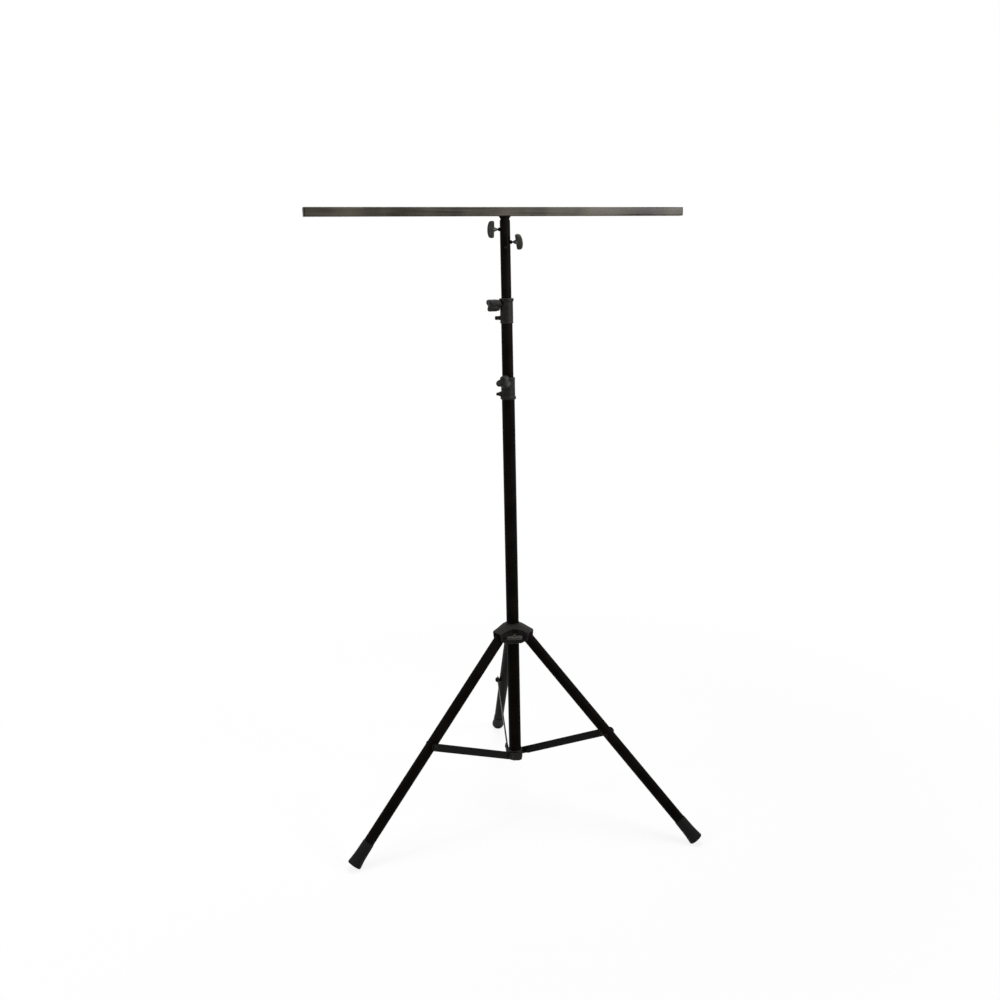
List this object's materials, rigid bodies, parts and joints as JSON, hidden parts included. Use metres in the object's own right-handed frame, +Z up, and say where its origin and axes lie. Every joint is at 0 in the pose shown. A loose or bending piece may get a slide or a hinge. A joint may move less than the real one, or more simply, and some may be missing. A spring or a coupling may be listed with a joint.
{
  "type": "lighting t bar stand",
  "caption": "Telescopic lighting stand: folding tripod legs tied by struts to a sliding hub, sliding mast tubes with clamp knobs and lock pins, and a cross bar held by T-screws.",
  "frame": {"origin": "on the floor, under the middle of the stand's outline seen from above", "axes": "+Z up along the mast, +X to the right and +Y away from someone who looks at the stand as in the picture"},
  "size_m": [1.1476, 1.0156, 1.9609],
  "materials": {
    "black_powder_coat": "satin black powder coat over steel tube",
    "grey_powder_coat": "satin dark grey powder coat with a fine grain",
    "cast_black": "black coat over cast aluminium, matt and slightly grained",
    "knob_plastic": "moulded black plastic with a fine grain",
    "knob_metal": "satin grey-brown coat over die casting",
    "black_plastic": "plain black plastic",
    "black_rubber": "matt black rubber",
    "zinc_steel": "bright zinc plate",
    "black_steel": "black coated steel"
  },
  "bodies": {
    "mast": {"main_tube": "black_powder_coat", "lower_clamp_collar": "cast_black", "lower_lock_spring": "zinc_steel", "base_cup": "cast_black", "base_cup_screw": "black_steel"},
    "middle_mast": {"middle_tube": "black_powder_coat", "middle_tube_guide": "black_plastic", "upper_clamp_collar": "cast_black", "upper_lock_spring": "zinc_steel"},
    "top_mast": {"top_tube": "black_powder_coat", "top_tube_guide": "black_plastic", "spigot_stop_rivet": "black_steel", "socket_nut_upper": "black_powder_coat", "socket_nut_lower": "black_powder_coat"},
    "t_bar": {"t_bar_tube": "grey_powder_coat", "t_bar_plug_left": "black_plastic", "t_bar_plug_right": "black_plastic", "t_bar_spigot": "black_powder_coat"},
    "t_knob_upper": {"t_knob_upper_head": "knob_metal", "t_knob_upper_screw": "black_steel"},
    "t_knob_lower": {"t_knob_lower_head": "knob_metal", "t_knob_lower_screw": "black_steel"},
    "upper_knob": {"upper_clamp_knob": "knob_plastic", "upper_clamp_screw": "zinc_steel"},
    "lower_knob": {"lower_clamp_knob": "knob_plastic", "lower_clamp_screw": "zinc_steel"},
    "upper_pin": {"upper_lock_pin": "black_steel"},
    "lower_pin": {"lower_lock_pin": "black_steel"},
    "hub": {"hub_casting": "cast_black", "hub_liner": "black_plastic", "leg_1_pivot_bolt": "black_steel", "leg_1_pivot_nut": "black_steel", "leg_2_pivot_bolt": "black_steel", "leg_2_pivot_nut": "black_steel", "leg_3_pivot_bolt": "black_steel", "leg_3_pivot_nut": "black_steel"},
    "hub_knob": {"hub_knob_head": "knob_metal", "hub_knob_screw": "black_steel"},
    "leg_1": {"leg_1_tube": "black_powder_coat", "leg_1_foot": "black_rubber", "leg_1_strut_bolt": "black_steel", "leg_1_strut_nut": "black_steel", "leg_1_strut_spacer": "black_plastic"},
    "strut_1": {"leg_1_strut": "black_steel", "leg_1_strut_rivet": "black_steel"},
    "leg_2": {"leg_2_tube": "black_powder_coat", "leg_2_foot": "black_rubber", "leg_2_strut_bolt": "black_steel", "leg_2_strut_nut": "black_steel", "leg_2_strut_spacer": "black_plastic"},
    "strut_2": {"leg_2_strut": "black_steel", "leg_2_strut_rivet": "black_steel"},
    "leg_3": {"leg_3_tube": "black_powder_coat", "leg_3_foot": "black_rubber", "leg_3_strut_bolt": "black_steel", "leg_3_strut_nut": "black_steel", "leg_3_strut_spacer": "black_plastic"},
    "strut_3": {"leg_3_strut": "black_steel", "leg_3_strut_rivet": "black_steel"}
  },
  "joints": [
    {"name": "middle_tube_slide", "type": "slide", "parent": "mast", "child": "middle_mast", "axis": [0, 0, 1], "range_m": [-0.16, 0.715]},
    {"name": "top_tube_slide", "type": "slide", "parent": "middle_mast", "child": "top_mast", "axis": [0, 0, 1], "range_m": [-0.14, 0.602]},
    {"name": "t_bar_turn", "type": "hinge", "parent": "top_mast", "child": "t_bar", "pos_m": [-0.00899, -0.12229, 1.9346], "axis": [0, 0, 1], "continuous": true},
    {"name": "t_knob_upper_turn", "type": "hinge", "parent": "top_mast", "child": "t_knob_upper", "pos_m": [-0.03231, -0.12515, 1.8971], "axis": [-0.9925, -0.1219, 0], "continuous": true},
    {"name": "t_knob_lower_turn", "type": "hinge", "parent": "top_mast", "child": "t_knob_lower", "pos_m": [0.014, -0.12718, 1.8596], "axis": [0.9781, -0.2079, 0], "continuous": true},
    {"name": "upper_knob_turn", "type": "hinge", "parent": "middle_mast", "child": "upper_knob", "pos_m": [-0.03529, -0.13033, 1.6766], "axis": [-0.9563, -0.2924, 0], "continuous": true},
    {"name": "upper_pin_pull", "type": "slide", "parent": "middle_mast", "child": "upper_pin", "axis": [-0.9945, -0.1045, 0], "range_m": [0, 0.003], "stiffness_N_per_m": 1500, "springref_m": -0.004, "deforming": ["upper_lock_spring"]},
    {"name": "lower_knob_turn", "type": "hinge", "parent": "mast", "child": "lower_knob", "pos_m": [-0.01749, -0.14844, 1.4446], "axis": [-0.309, -0.9511, 0], "continuous": true},
    {"name": "lower_pin_pull", "type": "slide", "parent": "mast", "child": "lower_pin", "axis": [-0.9848, -0.1736, 0], "range_m": [0, 0.003], "stiffness_N_per_m": 1500, "springref_m": -0.004, "deforming": ["lower_lock_spring"]},
    {"name": "hub_slide", "type": "slide", "parent": "mast", "child": "hub", "axis": [0, 0, 1], "range_m": [0, 0.30468]},
    {"name": "hub_knob_turn", "type": "hinge", "parent": "hub", "child": "hub_knob", "pos_m": [-0.00517, -0.15859, 0.62446], "axis": [0.1045, -0.9945, 0], "continuous": true},
    {"name": "leg_1_fold", "type": "hinge", "parent": "hub", "child": "leg_1", "pos_m": [-0.04929, -0.15189, 0.61696], "axis": [0.592, -0.8059, 0], "range_deg": [0, 43.3]},
    {"name": "strut_1_fold", "type": "hinge", "parent": "leg_1", "child": "strut_1", "pos_m": [-0.27203, -0.31551, 0.32366], "axis": [0.592, -0.8059, 0], "range_deg": [-108.24, 0]},
    {"name": "leg_2_fold", "type": "hinge", "parent": "hub", "child": "leg_2", "pos_m": [0.0368, -0.14239, 0.61696], "axis": [0.4019, 0.9157, 0], "range_deg": [0, 43.3]},
    {"name": "strut_2_fold", "type": "hinge", "parent": "leg_2", "child": "strut_2", "pos_m": [0.28987, -0.25348, 0.32366], "axis": [0.4019, 0.9157, 0], "range_deg": [-108.24, 0]},
    {"name": "leg_3_fold", "type": "hinge", "parent": "hub", "child": "leg_3", "pos_m": [-0.01448, -0.07259, 0.61696], "axis": [-0.994, -0.1097, 0], "range_deg": [0, 43.3]},
    {"name": "strut_3_fold", "type": "hinge", "parent": "leg_3", "child": "strut_3", "pos_m": [-0.0448, 0.20212, 0.32366], "axis": [-0.994, -0.1097, 0], "range_deg": [-108.24, 0]}
  ],
  "couplings": [
    {"joint": "leg_1_fold", "follows": "hub_slide", "rad_per_m": 2.4804},
    {"joint": "strut_1_fold", "follows": "hub_slide", "rad_per_m": -6.2005},
    {"joint": "leg_2_fold", "follows": "hub_slide", "rad_per_m": 2.4804},
    {"joint": "strut_2_fold", "follows": "hub_slide", "rad_per_m": -6.2005},
    {"joint": "leg_3_fold", "follows": "hub_slide", "rad_per_m": 2.4804},
    {"joint": "strut_3_fold", "follows": "hub_slide", "rad_per_m": -6.2005}
  ]
}
